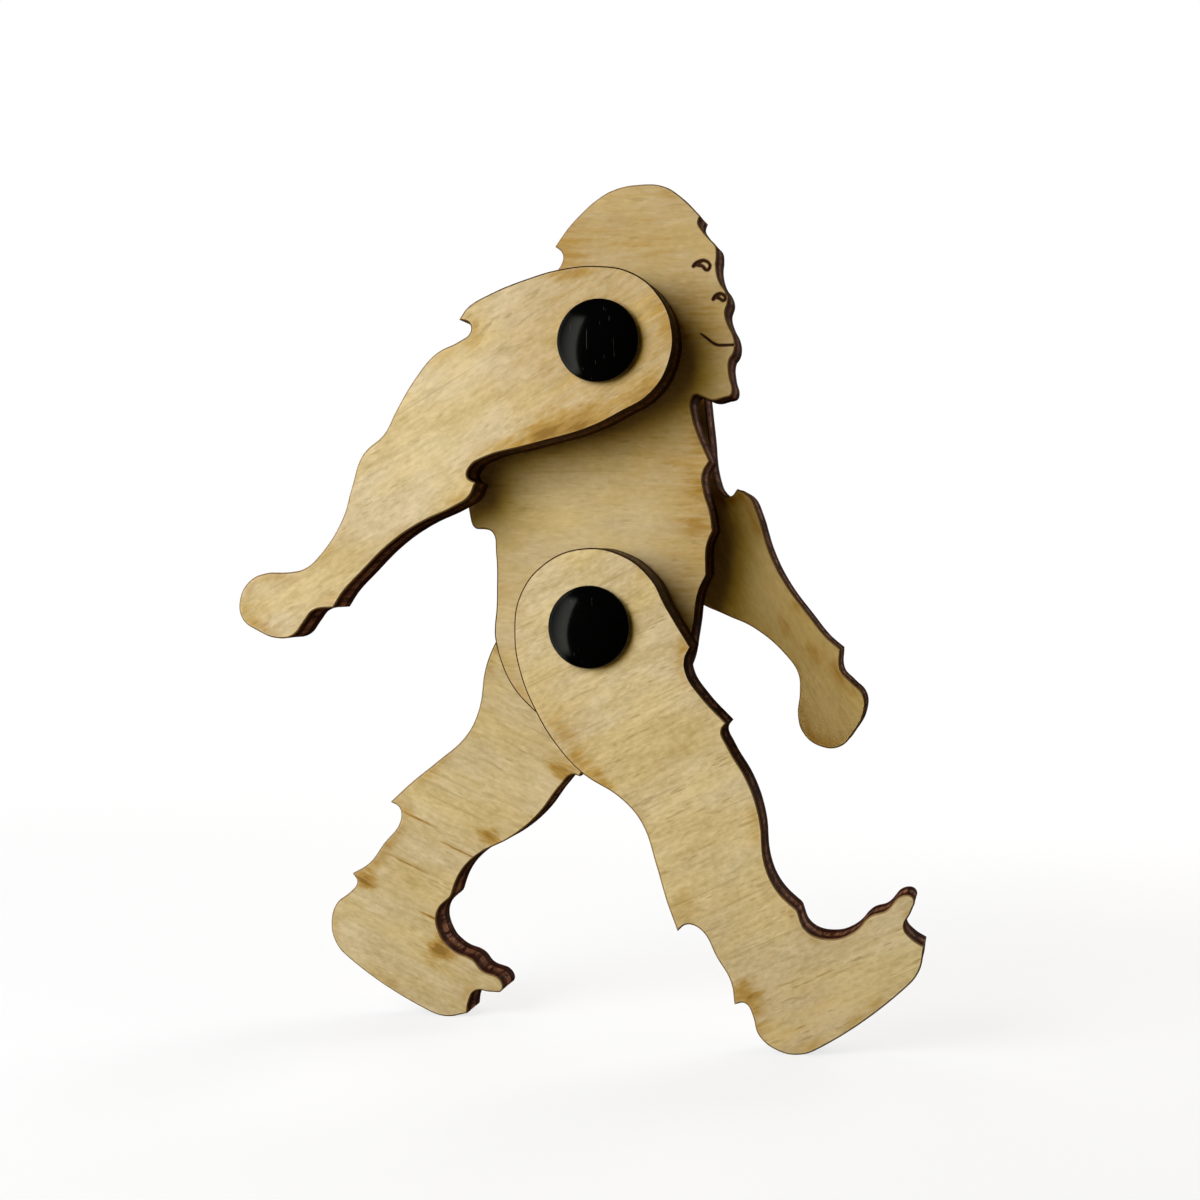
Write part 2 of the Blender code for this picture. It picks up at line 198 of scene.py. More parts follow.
def makeBirchGrain():
    look = veneerGrain
    inputs = [
        ("Place", "Vector", (0, 0, 0)), ("Grain Angle", "Float", 0.0), ("Seed", "Float", 0.0),
        ("Pale", "Color", (1, 1, 1, 1)), ("Dark", "Color", (0, 0, 0, 1)), ("Contrast", "Float", 1.0),
    ]
    outputs = [("Color", "Color"), ("Fibre", "Float"), ("Height", "Float")]
    tree, given, result = newGroup("birchGrain", inputs, outputs)
    turned = turnedToGrain(tree, given["Place"], given["Grain Angle"])
    shift = putNode(tree, "VectorMath", {0: look["seedShift"], "Scale": given["Seed"]}, operation="SCALE")
    place = putNode(tree, "VectorMath", {0: turned, 1: shift.outputs[0]}, operation="ADD").outputs[0]
    marks = {name: drawnOut(tree, place, *noise) for name, noise in look["noises"].items()}
    for name, limits in look["shows"].items():
        marks[name] = ease(tree, marks[name], *limits)
    marks["pore"] = calc(tree, "MULTIPLY", marks["pore"], marks["clump"])
    waves = weighted(tree, 0.0, [(marks[name], share) for name, share in look["toneShares"].items()])
    tone = calc(tree, "ADD", look["middleTone"], calc(tree, "MULTIPLY", waves, given["Contrast"]))
    tone = calc(tree, "ADD", tone, calc(tree, "MULTIPLY", marks["fleck"], look["fleckShare"]), clamp=True)
    wood = mixColour(tree, tone, given["Dark"], given["Pale"])
    hue = mixColour(tree, marks["hue"], look["honey"], look["rose"])
    wood = mixColour(tree, 1.0, wood, hue, "MULTIPLY")
    lineColour = mixColour(tree, 1.0, given["Dark"], look["lineTint"], "MULTIPLY")
    pores = calc(tree, "MULTIPLY", marks["pore"], look["poreShare"])
    threads = calc(tree, "MULTIPLY", marks["thread"], look["threadShare"])
    lines = calc(tree, "MULTIPLY", calc(tree, "MAXIMUM", pores, threads), given["Contrast"], clamp=True)
    feed(tree, mixColour(tree, lines, wood, lineColour), result["Color"])
    feed(tree, marks["fibre"], result["Fibre"])
    relief = weighted(tree, 0.5, [(marks[name], share) for name, share in look["reliefShares"].items()])
    feed(tree, relief, result["Height"])
    return tree


# Smoke that the laser leaves on a face: patches along the edge, and single spots, which are stains and
# painted shade, both tinted amber
smokeTrace = {
    "patch": ((0.17, 0.17, 0.17), 2.0),  # noise, as in the veneer
    "patchShows": (0.45, 0.68),
    "fades": (0.3, 2.0),    # mm from the edge
    "paleRim": (0.0, 0.4),  # mm from the edge, where less of it stays
    "rimShare": 0.3,
    "streaks": 2.4,         # how strongly the fibres streak it
    "amberAt": 0.65,        # smoke, painted shade included, that turns the wood fully amber
    "burntShows": (0.55, 1.25),
    "burntShare": 0.8,
}


def makeLaserSmoke():
    look = smokeTrace
    inputs = [
        ("Wood", "Color", (1, 1, 1, 1)), ("Fibre", "Float", 0.5), ("Place", "Vector", (0, 0, 0)),
        ("Edge Gap", "Float", 1.0), ("SmokeAndShade", "Float", 0.0), ("Halo", "Float", 0.5),
        ("Amber", "Color", (1, 1, 1, 1)), ("Umber", "Color", (0, 0, 0, 1)),
    ]
    tree, given, result = newGroup("laserSmoke", inputs, [("Color", "Color")])
    patch = ease(tree, drawnOut(tree, given["Place"], *look["patch"]), *look["patchShows"])
    fading = ease(tree, given["Edge Gap"], *look["fades"], 1.0, 0.0)
    rim = ease(tree, given["Edge Gap"], *look["paleRim"], look["rimShare"], 1.0)
    halo = calc(tree, "MULTIPLY", patch, fading)
    halo = calc(tree, "MULTIPLY", halo, calc(tree, "MULTIPLY", rim, given["Halo"]))
    streak = weighted(tree, 1.0, [(given["Fibre"], look["streaks"])])
    total = calc(tree, "MULTIPLY", calc(tree, "ADD", halo, given["SmokeAndShade"]), streak)
    tinted = mixColour(tree, 1.0, given["Wood"], given["Amber"], "MULTIPLY")
    warm = mixColour(tree, ease(tree, total, 0.0, look["amberAt"]), given["Wood"], tinted)
    burnt = calc(tree, "MULTIPLY", ease(tree, total, *look["burntShows"]), look["burntShare"])
    feed(tree, mixColour(tree, burnt, warm, given["Umber"]), result["Color"])
    return tree


# One spot: soft and ragged, at a place on the face, with its own reach along and across the grain. The same
# spot makes the stains and the painted shade
stainAndShadeEdge = {
    "noise": ((0.45, 0.5, 1.9), 3.0, 0.65),
    "ragged": 2.6,
    "smoothFrom": 1.5,  # mm of half width from which the outline gets smoother
}


def makeStainAndShadeSpot():
    inputs = [
        ("Place", "Vector", (0, 0, 0)), ("Centre", "Vector", (0, 0, 0)), ("Grain Angle", "Float", 0.0),
        ("Spread", "Vector", (1, 0, 1)), ("Strength", "Float", 0.5),
        ("Ragged", "Float", stainAndShadeEdge["ragged"]),
    ]
    tree, given, result = newGroup("stainAndShadeSpot", inputs, [("SmokeAndShade", "Float")])
    away = putNode(tree, "VectorMath", {0: given["Place"], 1: given["Centre"]}, operation="SUBTRACT")
    turned = turnedToGrain(tree, away.outputs[0], given["Grain Angle"])
    scaled = putNode(tree, "VectorMath", {0: turned, 1: given["Spread"]}, operation="MULTIPLY").outputs[0]
    reach = putNode(tree, "VectorMath", {0: scaled}, operation="LENGTH").outputs["Value"]
    reach = weighted(tree, reach, [(drawnOut(tree, turned, *stainAndShadeEdge["noise"]), given["Ragged"])])
    falling = calc(tree, "MULTIPLY", calc(tree, "POWER", calc(tree, "MAXIMUM", reach, 0.0), 2.0), -1.0)
    feed(tree, calc(tree, "MULTIPLY", calc(tree, "EXPONENT", falling), given["Strength"]), result["SmokeAndShade"])
    return tree


# Laser-cut side of a plate: two charred face veneers, a paler core, fine burn lines through the thickness
burntSide = {
    "coreEdge": (0.15, 0.185),  # these four as shares of the thickness, from its middle
    "glueLine": 0.167,
    "glueWidth": 0.016,
    "arrisFrom": (0.470, 0.476),
    "lines": ((2.6, 0.16, 2.6), 2.0),  # noises, as in the veneer
    "cells": ((5.5, 1.6, 5.5), 1.0),
    "drift": ((0.35, 0.3, 0.35), 2.0),
    "coreShows": (0.36, 0.58),
    "veneerShows": (0.5, 0.75, 0.0, 0.4),
    "driftShows": (0.3, 0.65, 0.35, 1.0),
    "ashShows": (0.55, 0.72),
    "ashShare": 0.55,
    "glueShare": 0.75,
    "roughness": 0.52,
    "lineRoughness": 0.35,
    "cellRoughness": 0.2,
    "lineRelief": 0.8,
    "cellRelief": 0.35,
    "glueRelief": -0.6,
}


def makeCharredCut():
    look = burntSide
    inputs = [
        ("Place", "Vector", (0, 0, 0)), ("Through", "Float", 0.5), ("Char", "Color", (0, 0, 0, 1)),
        ("Brown", "Color", (0.1, 0.1, 0.1, 1)), ("Ash", "Color", (0.3, 0.3, 0.3, 1)),
        ("Arris", "Color", (0.1, 0.1, 0.1, 1)),
    ]
    outputs = [("Color", "Color"), ("Roughness", "Float"), ("Height", "Float")]
    tree, given, result = newGroup("charredCut", inputs, outputs)
    fromMiddle = calc(tree, "ABSOLUTE", calc(tree, "SUBTRACT", given["Through"], 0.5))
    core = ease(tree, fromMiddle, *look["coreEdge"], 1.0, 0.0)
    fromGlue = calc(tree, "ABSOLUTE", calc(tree, "SUBTRACT", fromMiddle, look["glueLine"]))
    glue = ease(tree, fromGlue, 0.0, look["glueWidth"], 1.0, 0.0)
    place = given["Place"]
    lines, cells, drift = (drawnOut(tree, place, *look[name]) for name in ("lines", "cells", "drift"))
    coreTone = calc(tree, "MULTIPLY", core, ease(tree, lines, *look["coreShows"]))
    veneer = calc(tree, "SUBTRACT", 1.0, core)
    veneerTone = calc(tree, "MULTIPLY", veneer, ease(tree, lines, *look["veneerShows"]))
    tone = calc(tree, "ADD", coreTone, veneerTone)
    tone = calc(tree, "MULTIPLY", tone, ease(tree, drift, *look["driftShows"]))
    colour = mixColour(tree, tone, given["Char"], given["Brown"])
    ash = calc(tree, "MULTIPLY", core, ease(tree, cells, *look["ashShows"]))
    colour = mixColour(tree, calc(tree, "MULTIPLY", ash, look["ashShare"]), colour, given["Ash"])
    colour = mixColour(tree, calc(tree, "MULTIPLY", glue, look["glueShare"]), colour, given["Char"])
    colour = mixColour(tree, ease(tree, fromMiddle, *look["arrisFrom"]), colour, given["Arris"])
    feed(tree, colour, result["Color"])
    roughShares = [(lines, look["lineRoughness"]), (cells, look["cellRoughness"])]
    feed(tree, weighted(tree, look["roughness"], roughShares), result["Roughness"])
    reliefShares = [(lines, look["lineRelief"]), (cells, look["cellRelief"]), (glue, look["glueRelief"])]
    feed(tree, weighted(tree, 0.5, reliefShares), result["Height"])
    return tree


birchGrain = makeBirchGrain()
laserSmoke = makeLaserSmoke()
stainAndShadeSpot = makeStainAndShadeSpot()
charredCut = makeCharredCut()
print("shader groups made")


birchFinish = {
    "pale": (0.76, 0.62, 0.36),
    "dark": (0.53, 0.395, 0.175),
    "amber": (0.74, 0.57, 0.26, 1),  # what a smoke stain, and a spot of painted shade, leaves of the wood's colour
    "umber": (0.25, 0.125, 0.016, 1),
    "burntLine": (0.045, 0.014, 0.006, 1),
    "leftFaceFrom": (0.4, 0.6),  # share of the thickness over which the left face begins
    "leftFaceSmoke": 0.5,        # share of the smoke and painted shade that reaches it
    "roughness": 0.60,
    "fibreRoughness": 0.25,
    "specular": 0.3,
    "bump": 0.35,
    "bumpDepth": 0.03,  # mm
}


def birchMaterial(plate, axis):
    material, tree, shader = newMaterial(plate["name"] + "Birch")
    place = placeInMm(tree)
    angle = math.radians(plate["grainAngle"])
    grain = useGroup(tree, birchGrain, {
        "Place": place,
        "Grain Angle": angle,
        "Seed": plate["seed"],
        "Pale": (*(value * share for value, share in zip(birchFinish["pale"], plate["tone"])), 1),
        "Dark": (*(value * share for value, share in zip(birchFinish["dark"], plate["tone"])), 1),
        "Contrast": plate["contrast"],
    })
    # stains and spots of painted shade, added up
    stainsAndShade = 0.0
    for x, z, length, width, strength in plate["stainsAndShade"]:
        spot = useGroup(tree, stainAndShadeSpot, {
            "Place": place,
            "Centre": (axis.x + x, 0, axis.z + z),
            "Grain Angle": angle,
            "Spread": (1 / length, 0, 1 / width),
            "Strength": strength,
            "Ragged": stainAndShadeEdge["ragged"] / max(1.0, width / stainAndShadeEdge["smoothFrom"]),
        })
        stainsAndShade = calc(tree, "ADD", spot["SmokeAndShade"], stainsAndShade)
    through = readAttribute(tree, "through")
    reaching = ease(tree, through, *birchFinish["leftFaceFrom"], 1.0, birchFinish["leftFaceSmoke"])
    smoke = useGroup(tree, laserSmoke, {
        "Wood": grain["Color"],
        "Fibre": grain["Fibre"],
        "Place": place,
        "Edge Gap": readAttribute(tree, "edgeGap"),
        "SmokeAndShade": calc(tree, "MULTIPLY", stainsAndShade, reaching),
        "Halo": plate["halo"],
        "Amber": birchFinish["amber"],
        "Umber": birchFinish["umber"],
    })
    burn = readAttribute(tree, "burn")
    feed(tree, mixColour(tree, burn, smoke["Color"], birchFinish["burntLine"]), shader.inputs["Base Color"])
    rough = weighted(tree, birchFinish["roughness"], [(grain["Fibre"], birchFinish["fibreRoughness"])])
    feed(tree, rough, shader.inputs["Roughness"])
    shader.inputs["Specular IOR Level"].default_value = birchFinish["specular"]
    putBump(tree, shader, grain["Height"], birchFinish)
    return material


cutFinish = {
    "char": (0.035, 0.009, 0.005, 1),
    "brown": (0.24, 0.094, 0.042, 1),
    "ash": (0.41, 0.28, 0.16, 1),
    "arris": (0.30, 0.19, 0.080, 1),
    "burntArris": (0.052, 0.020, 0.006, 1),
    "specular": 0.08,
    "bump": 0.6,
    "bumpDepth": 0.06,  # mm
}


def cutMaterial():
    material, tree, shader = newMaterial("charredSide")
    arris = mixColour(tree, readAttribute(tree, "scorch"), cutFinish["arris"], cutFinish["burntArris"])
    cut = useGroup(tree, charredCut, {
        "Place": placeInMm(tree),
        "Through": readAttribute(tree, "through"),
        "Char": cutFinish["char"],
        "Brown": cutFinish["brown"],
        "Ash": cutFinish["ash"],
        "Arris": arris,
    })
    feed(tree, cut["Color"], shader.inputs["Base Color"])
    feed(tree, cut["Roughness"], shader.inputs["Roughness"])
    shader.inputs["Specular IOR Level"].default_value = cutFinish["specular"]
    putBump(tree, shader, cut["Height"], cutFinish)
    return material


# Outlines of the plates, read from the frame and drawn finer

cutting = {
    "step": 0.24,        # mm between points of an outline
    "fineStep": 0.06,    # where a burnt line runs over the edge
    "fineReach": 1.2,    # mm around that place
    "cornerTurn": 42.0,  # degrees, a sharper turn than this stays a corner
    "bevel": 0.15,       # mm, burnt-off arris between face and side
    "ripple": 0.022,     # mm, depth of the ripples that the beam leaves
    "rippleWaves": [     # turn per mm in x and in z, and per seed
        (9.1, 3.7, 1.0), (-7.9, 5.3, 2.1), (4.1, 12.7, 0.0),
    ],
    "veneers": 3,
    "veneerRows": (0.1, 0.36, 0.64, 0.9),  # rows of points down a veneer, as shares of it
    "coreSetback": 0.012,  # mm
    "glueGroove": 0.05,    # mm
    "rings": [(0.2, 1), (0.5, 2)],  # rows of face points along the edge: mm in, every how many points
    "ringShare": 0.92,   # of that distance, that a ring's points keep from all edges
    "spacing": 0.62,     # mm between the other face points
    "rowShare": 0.87,    # of that spacing, between their rows
    "scatter": 0.12,     # mm
    "innerGap": 0.75,    # mm that they keep from the edge
    "scorched": (11.0, 16.0),  # mm from the axis up to which the arris is darkest, and where it is palest
    "sharpAngle": 38,    # degrees, a sharper turn than this is shaded as an edge
}


def flatLoops(nodeName):  # closed outlines of the plate's left face in mm, the outer one first
    mesh = frame["nodes"][nodeName].data
    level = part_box(nodeName)[1].y - 0.001 * mm
    edges = set()
    for face in mesh.polygons:
        corners = [mesh.vertices[index].co for index in face.vertices]
        if min(corner.y for corner in corners) < level:
            continue
        keys = [(round(corner.x / mm, 4), round(corner.z / mm, 4)) for corner in corners]
        for start, end in zip(keys, keys[1:] + keys[:1]):
            if (end, start) in edges:
                edges.remove((end, start))
            else:
                edges.add((start, end))
    following = dict(edges)
    loops = []
    while following:
        first = next(iter(sorted(following)))
        loop = [first]
        spot = following.pop(first)
        while spot != first:
            loop.append(spot)
            spot = following.pop(spot)
        loops.append(np.array(loop))
    loops.sort(key=lambda loop: -abs(signedArea(loop)))
    ordered = []
    for index, loop in enumerate(loops):
        wanted = 1 if index == 0 else -1  # the wood lies to the left of every loop
        ordered.append(loop if signedArea(loop) * wanted > 0 else loop[::-1])
    return ordered


def signedArea(loop):
    after = np.roll(loop, -1, axis=0)
    return 0.5 * float(np.sum(loop[:, 0] * after[:, 1] - after[:, 0] * loop[:, 1]))


def finer(loop, fineSpots):  # a smooth curve through the points that keeps the sharp corners
    before = np.roll(loop, 1, axis=0)
    after = np.roll(loop, -1, axis=0)
    back = np.linalg.norm(loop - before, axis=1)
    ahead = np.linalg.norm(after - loop, axis=1)
    incoming = (loop - before) / back[:, None]
    outgoing = (after - loop) / ahead[:, None]
    turning = np.degrees(np.arccos(np.clip(np.sum(incoming * outgoing, axis=1), -1, 1)))
    corner = turning > cutting["cornerTurn"]
    tangent = (incoming * ahead[:, None] + outgoing * back[:, None]) / (back + ahead)[:, None]
    points = []
    for index in range(len(loop)):
        following = (index + 1) % len(loop)
        leave = outgoing[index] if corner[index] else tangent[index]
        arrive = incoming[following] if corner[following] else tangent[following]
        near = any(np.hypot(*(loop[index] - spot)) < cutting["fineReach"] for spot in fineSpots)
        step = cutting["fineStep"] if near else cutting["step"]
        count = max(1, round(ahead[index] / step))
        for share in np.arange(count) / count:
            points.append(
                loop[index] * (2 * share**3 - 3 * share**2 + 1)
                + leave * ahead[index] * (share**3 - 2 * share**2 + share)
                + loop[following] * (3 * share**2 - 2 * share**3)
                + arrive * ahead[index] * (share**3 - share**2)
            )
    return np.array(points)


def outward(loop):  # directions that point out of the wood
    along = np.roll(loop, -1, axis=0) - np.roll(loop, 1, axis=0)
    along /= np.linalg.norm(along, axis=1)[:, None]
    return np.stack([along[:, 1], -along[:, 0]], axis=1)


def distanceTo(points, starts, ends, chunk=1500):  # from each point to the nearest of the segments
    run = ends - starts
    square = np.maximum(np.sum(run * run, axis=1), 1e-12)
    found = []
    for first in range(0, len(points), chunk):
        gap = points[first:first + chunk, None, :] - starts[None]
        share = np.clip(np.sum(gap * run[None], axis=2) / square, 0, 1)
        found.append(np.min(np.linalg.norm(gap - share[..., None] * run[None], axis=2), axis=1))
    return np.concatenate(found)


def segmentsOf(loops):
    return np.concatenate(loops), np.concatenate([np.roll(loop, -1, axis=0) for loop in loops])


def insideOf(points, loops, chunk=1500):  # inside the outer loop and outside the holes
    starts, ends = segmentsOf(loops)
    found = []
    for first in range(0, len(points), chunk):
        x = points[first:first + chunk, 0][:, None]
        z = points[first:first + chunk, 1][:, None]
        spans = (starts[:, 1] > z) != (ends[:, 1] > z)
        height = np.where(ends[:, 1] == starts[:, 1], 1e-12, ends[:, 1] - starts[:, 1])
        crossing = starts[:, 0] + (z - starts[:, 1]) / height * (ends[:, 0] - starts[:, 0])
        found.append(np.sum(spans & (crossing > x), axis=1) % 2 == 1)
    return np.concatenate(found)


def rippleAt(place, seed):  # depth of the ripples, which repeat nowhere along an outline
    waves = [
        np.sin(across * place[:, 0] + up * place[:, 1] + shift * seed)
        for across, up, shift in cutting["rippleWaves"]
    ]
    return (sum(waves) / len(waves) + 1) / 2 * cutting["ripple"]


# Burnt lines of the face, in mm from the shoulder axis: points of each stroke and its half width there
faceLines = {
    "depth": 0.17,
    "grooveReach": 1.05,  # these five as shares of a stroke's half width
    "burnReach": 1.35,
    "burnFade": 0.5,
    "fineReach": 2.2,     # face points stand close up to here
    "clearReach": 2.6,    # and the wide ones begin here
    "spacing": 0.06,      # mm between the close points
    "margin": 0.6,        # mm around a stroke that are searched for them
    "edgeGap": 0.11,      # mm that they keep from the edge
    "strokes": [
        [  # eye
            (8.44, 7.54, 0.18), (8.81, 7.81, 0.24), (9.42, 8.04, 0.17), (9.89, 7.84, 0.15),
            (10.08, 7.51, 0.15), (9.91, 7.14, 0.16), (9.61, 7.16, 0.17), (9.35, 7.47, 0.17),
            (8.90, 7.63, 0.20),
        ],
        [  # nostril
            (10.34, 4.23, 0.18), (10.62, 4.53, 0.23), (11.07, 4.73, 0.17), (11.46, 4.50, 0.15),
            (11.52, 4.20, 0.15), (11.28, 4.05, 0.16), (11.03, 4.22, 0.15), (10.78, 4.38, 0.18),
        ],
        [  # mouth
            (9.03, 0.93, 0.08), (9.52, 0.55, 0.12), (10.05, 0.11, 0.13), (10.59, -0.21, 0.145),
            (11.31, -0.29, 0.14), (13.00, -0.27, 0.13),
        ],
    ],
}


def strokePath(stroke, count=14):  # smooth path through the points of a stroke
    points = np.array(stroke)
    points = np.concatenate([2 * points[:1] - points[1:2], points, 2 * points[-1:] - points[-2:-1]])
    path = []
    for index in range(1, len(points) - 2):
        a, b, c, d = points[index - 1:index + 3]
        for share in np.arange(count) / count:
            path.append(0.5 * (
                2 * b + (c - a) * share + (2 * a - 5 * b + 4 * c - d) * share**2
                + (3 * b - a - 3 * c + d) * share**3
            ))
    path.append(points[-2])
    return np.array(path)


def burntStrokes():
    paths = []
    for stroke in faceLines["strokes"]:
        path = strokePath(stroke)
        path[:, 0] += shoulder.x
        path[:, 1] += shoulder.z
        paths.append(path)
    return paths


def strokeReach(points, paths):  # distance from the nearest stroke's middle, as a share of its half width
    reach = np.full(len(points), np.inf)
    for path in paths:
        gap = np.linalg.norm(points[:, None, :] - path[None, :, :2], axis=2) / path[None, :, 2]
        reach = np.minimum(reach, gap.min(axis=1))
    return reach


def gridPoints(low, high, spacing, rowSpacing):  # every other row is shifted by half a space
    x, z = np.meshgrid(np.arange(low[0], high[0], spacing), np.arange(low[1], high[1], rowSpacing))
    x = x + (np.arange(len(x)) % 2)[:, None] * spacing / 2
    return np.stack([x.ravel(), z.ravel()], axis=1)


def facePoints(loops, strokes, seed):
    random = np.random.default_rng(seed)
    starts, ends = segmentsOf(loops)
    points = []
    for gap, every in cutting["rings"]:
        for loop in loops:
            row = (loop - outward(loop) * gap)[::every]
            points.append(row[distanceTo(row, starts, ends) > gap * cutting["ringShare"]])
    spacing, scatter = cutting["spacing"], cutting["scatter"]
    grid = gridPoints(starts.min(axis=0), starts.max(axis=0), spacing, spacing * cutting["rowShare"])
    grid = grid + random.uniform(-scatter, scatter, grid.shape)
    grid = grid[insideOf(grid, loops)]
    points.append(grid[distanceTo(grid, starts, ends) > cutting["innerGap"]])
    if strokes:
        points = [spots[strokeReach(spots, strokes) > faceLines["clearReach"]] for spots in points]
    for path in strokes:
        low = path[:, :2].min(axis=0) - faceLines["margin"]
        high = path[:, :2].max(axis=0) + faceLines["margin"]
        grid = gridPoints(low, high, faceLines["spacing"], faceLines["spacing"])
        grid = grid[strokeReach(grid, [path]) < faceLines["fineReach"]]
        grid = grid[insideOf(grid, loops)]
        points.append(grid[distanceTo(grid, starts, ends) > faceLines["edgeGap"]])
    return np.concatenate(points)


def sideRows(thickness):  # (distance from the right face, distance into the wood, is a veneer's body)
    veneers = cutting["veneers"]
    part = thickness / veneers
    bevel = cutting["bevel"]
    rows = [(0.0, bevel, 0), (bevel, 0.0, 0)]
    for veneer in range(veneers):
        top = veneer * part
        setback = cutting["coreSetback"] if veneer % 2 else 0.0
        rows += [(top + part * share, setback, 1) for share in cutting["veneerRows"]]
        if veneer < veneers - 1:
            rows.append((top + part, cutting["glueGroove"], 0))
    return rows + [(thickness - bevel, 0.0, 0), (thickness, bevel, 0)]


def cutSides(loops, right, left, seed):  # rims say where each side's first and last row begin
    rows = sideRows(left - right)
    corners, through, sides, rims = [], [], [], []
    for loop in loops:
        first, count = len(corners), len(loop)
        normals = outward(loop)
        ripple = rippleAt(loop, seed)
        for depth, inset, isVeneer in rows:
            spots = loop - normals * (inset + ripple * isVeneer)[:, None]
            corners += [(x, right + depth, z) for x, z in spots]
            through += [depth / (left - right)] * count
        rims.append((first, first + (len(rows) - 1) * count, count))
        for row in range(len(rows) - 1):
            near, far = first + row * count, first + (row + 1) * count
            for index in range(count):
                after = (index + 1) % count
                sides.append((near + index, far + index, far + after, near + after))
    return corners, through, sides, rims


def cutFace(rimLoops, inner):  # triangles over the rims' points and then the inner ones
    places = np.concatenate([*rimLoops, inner])
    edges, first = [], 0
    for loop in rimLoops:
        edges += [(first + index, first + (index + 1) % len(loop)) for index in range(len(loop))]
        first += len(loop)
    found = delaunay_2d_cdt([Vector(place) for place in places], edges, [], 1, 1e-6, True)
    origin = [sources[0] for sources in found[3]]  # the number that each point has in places
    triangles = np.array([[origin[index] for index in face] for face in found[2]])
    return triangles[insideOf(places[triangles].mean(axis=1), rimLoops)]


def burnLines(corners, right, strokes):  # sinks them into the right face and says how burnt each point is
    if not strokes:
        return np.zeros(len(corners))
    reach = strokeReach(corners[:, [0, 2]], strokes)
    depth = faceLines["depth"]
    groove = right + depth * np.clip(1 - (reach / faceLines["grooveReach"]) ** 2, 0, 1)
    corners[:, 1] = np.maximum(corners[:, 1], groove)
    onRight = corners[:, 1] < right + 2 * depth
    return np.where(onRight, np.clip((faceLines["burnReach"] - reach) / faceLines["burnFade"], 0, 1), 0)


def scorchOf(corners, axis):
    nearest, farthest = cutting["scorched"]
    fromAxis = np.hypot(corners[:, 0] - axis.x, corners[:, 2] - axis.z)
    return np.clip((farthest - fromAxis) / (farthest - nearest), 0, 1)


def buildPlate(plate, axis, strokes):
    low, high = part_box(plate["node"])
    right, left = low.y / mm, high.y / mm
    lineEnds = [path[-1, :2] for path in strokes]
    loops = [finer(loop, lineEnds) for loop in flatLoops(plate["node"])]
    corners, through, sides, rims = cutSides(loops, right, left, plate["seed"])
    rimLoops = [np.array(corners[near:near + count])[:, [0, 2]] for near, far, count in rims]
    inner = facePoints(loops, strokes, round(plate["seed"] * 10))
    triangles = cutFace(rimLoops, inner)
    edgeGap = [0.0] * len(corners) + list(distanceTo(inner, *segmentsOf(loops))) * 2

    # both faces share the triangles, whose rims are the first and the last row of each side
    rightIndex = [near + index for near, far, count in rims for index in range(count)]
    leftIndex = [far + index for near, far, count in rims for index in range(count)]
    for indices, level, share in ((rightIndex, right, 0.0), (leftIndex, left, 1.0)):
        indices.extend(range(len(corners), len(corners) + len(inner)))
        corners += [(x, level, z) for x, z in inner]
        through += [share] * len(inner)
    faces = [tuple(rightIndex[index] for index in face) for face in triangles]
    faces += [tuple(leftIndex[index] for index in face[::-1]) for face in triangles]
    corners = np.array(corners)
    traces = {
        "edgeGap": edgeGap, "burn": burnLines(corners, right, strokes),
        "through": through, "scorch": scorchOf(corners, axis),
    }
    mesh = bpy.data.meshes.new(plate["name"])
    mesh.from_pydata([tuple(corner * mm) for corner in corners], [], sides + faces)
    for name, values in traces.items():
        mesh.attributes.new(name, "FLOAT", "POINT").data.foreach_set("value", np.array(values, np.float32))
    mesh.materials.append(birchMaterial(plate, axis))
    mesh.materials.append(charredSide)
    mesh.polygons.foreach_set("material_index", [1] * len(sides) + [0] * len(faces))
    mesh.shade_smooth()
    mesh.set_sharp_from_angle(angle=math.radians(cutting["sharpAngle"]))
    piece = bpy.data.objects.new(plate["name"], mesh)
    bpy.context.scene.collection.objects.link(piece)
    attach(piece, plate["body"])
    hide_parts(plate["node"])
    print(plate["name"], "cut:", len(sides) + len(faces), "faces")


# Stains and spots of painted shade are (x, z, half length along the grain, half width across it, strength),
# in mm from the axis
bodyBoard = {
    "name": "bodyBoard", "node": "body_plate", "body": "body",
    "grainAngle": -1.0, "seed": 1.7, "contrast": 0.85, "halo": 0.25, "tone": (0.965, 0.965, 0.965),
    # the first three are stains; the other five are painted shade, over the head, down the right side,
    # beside the leg's round end, on the chest under the arm and on the cheek
    "stainsAndShade": [
        (10.7, 13.3, 1.6, 1.4, 0.45), (10.0, 9.6, 1.6, 0.9, 0.35), (-3.6, 36.8, 2.6, 3.0, 0.36),
        (4.0, 38.0, 9.0, 8.0, 0.29), (11.0, 13.0, 4.5, 15.0, 0.16), (8.0, 4.0, 4.5, 7.0, 0.26),
        (5.5, 17.0, 9.0, 4.0, 0.22), (10.5, 29.5, 4.0, 4.5, 0.32),
    ],
}
rightArmBoard = {
    "name": "rightArmBoard", "node": "right_arm", "body": "right_arm",
    "grainAngle": 29.0, "seed": 4.3, "contrast": 1.35, "halo": 0.35, "tone": (1.05, 1.09, 1.21),
    # the last, broad spot round the shoulder is painted shade
    "stainsAndShade": [
        (-1.0, -7.4, 5.0, 1.1, 0.47), (-5.6, -8.3, 3.2, 1.1, 0.50), (4.6, -5.2, 2.6, 1.0, 0.40),
        (-14.2, -14.6, 2.2, 0.8, 0.35), (0.5, 0.5, 13.0, 8.5, 0.39),
    ],
}
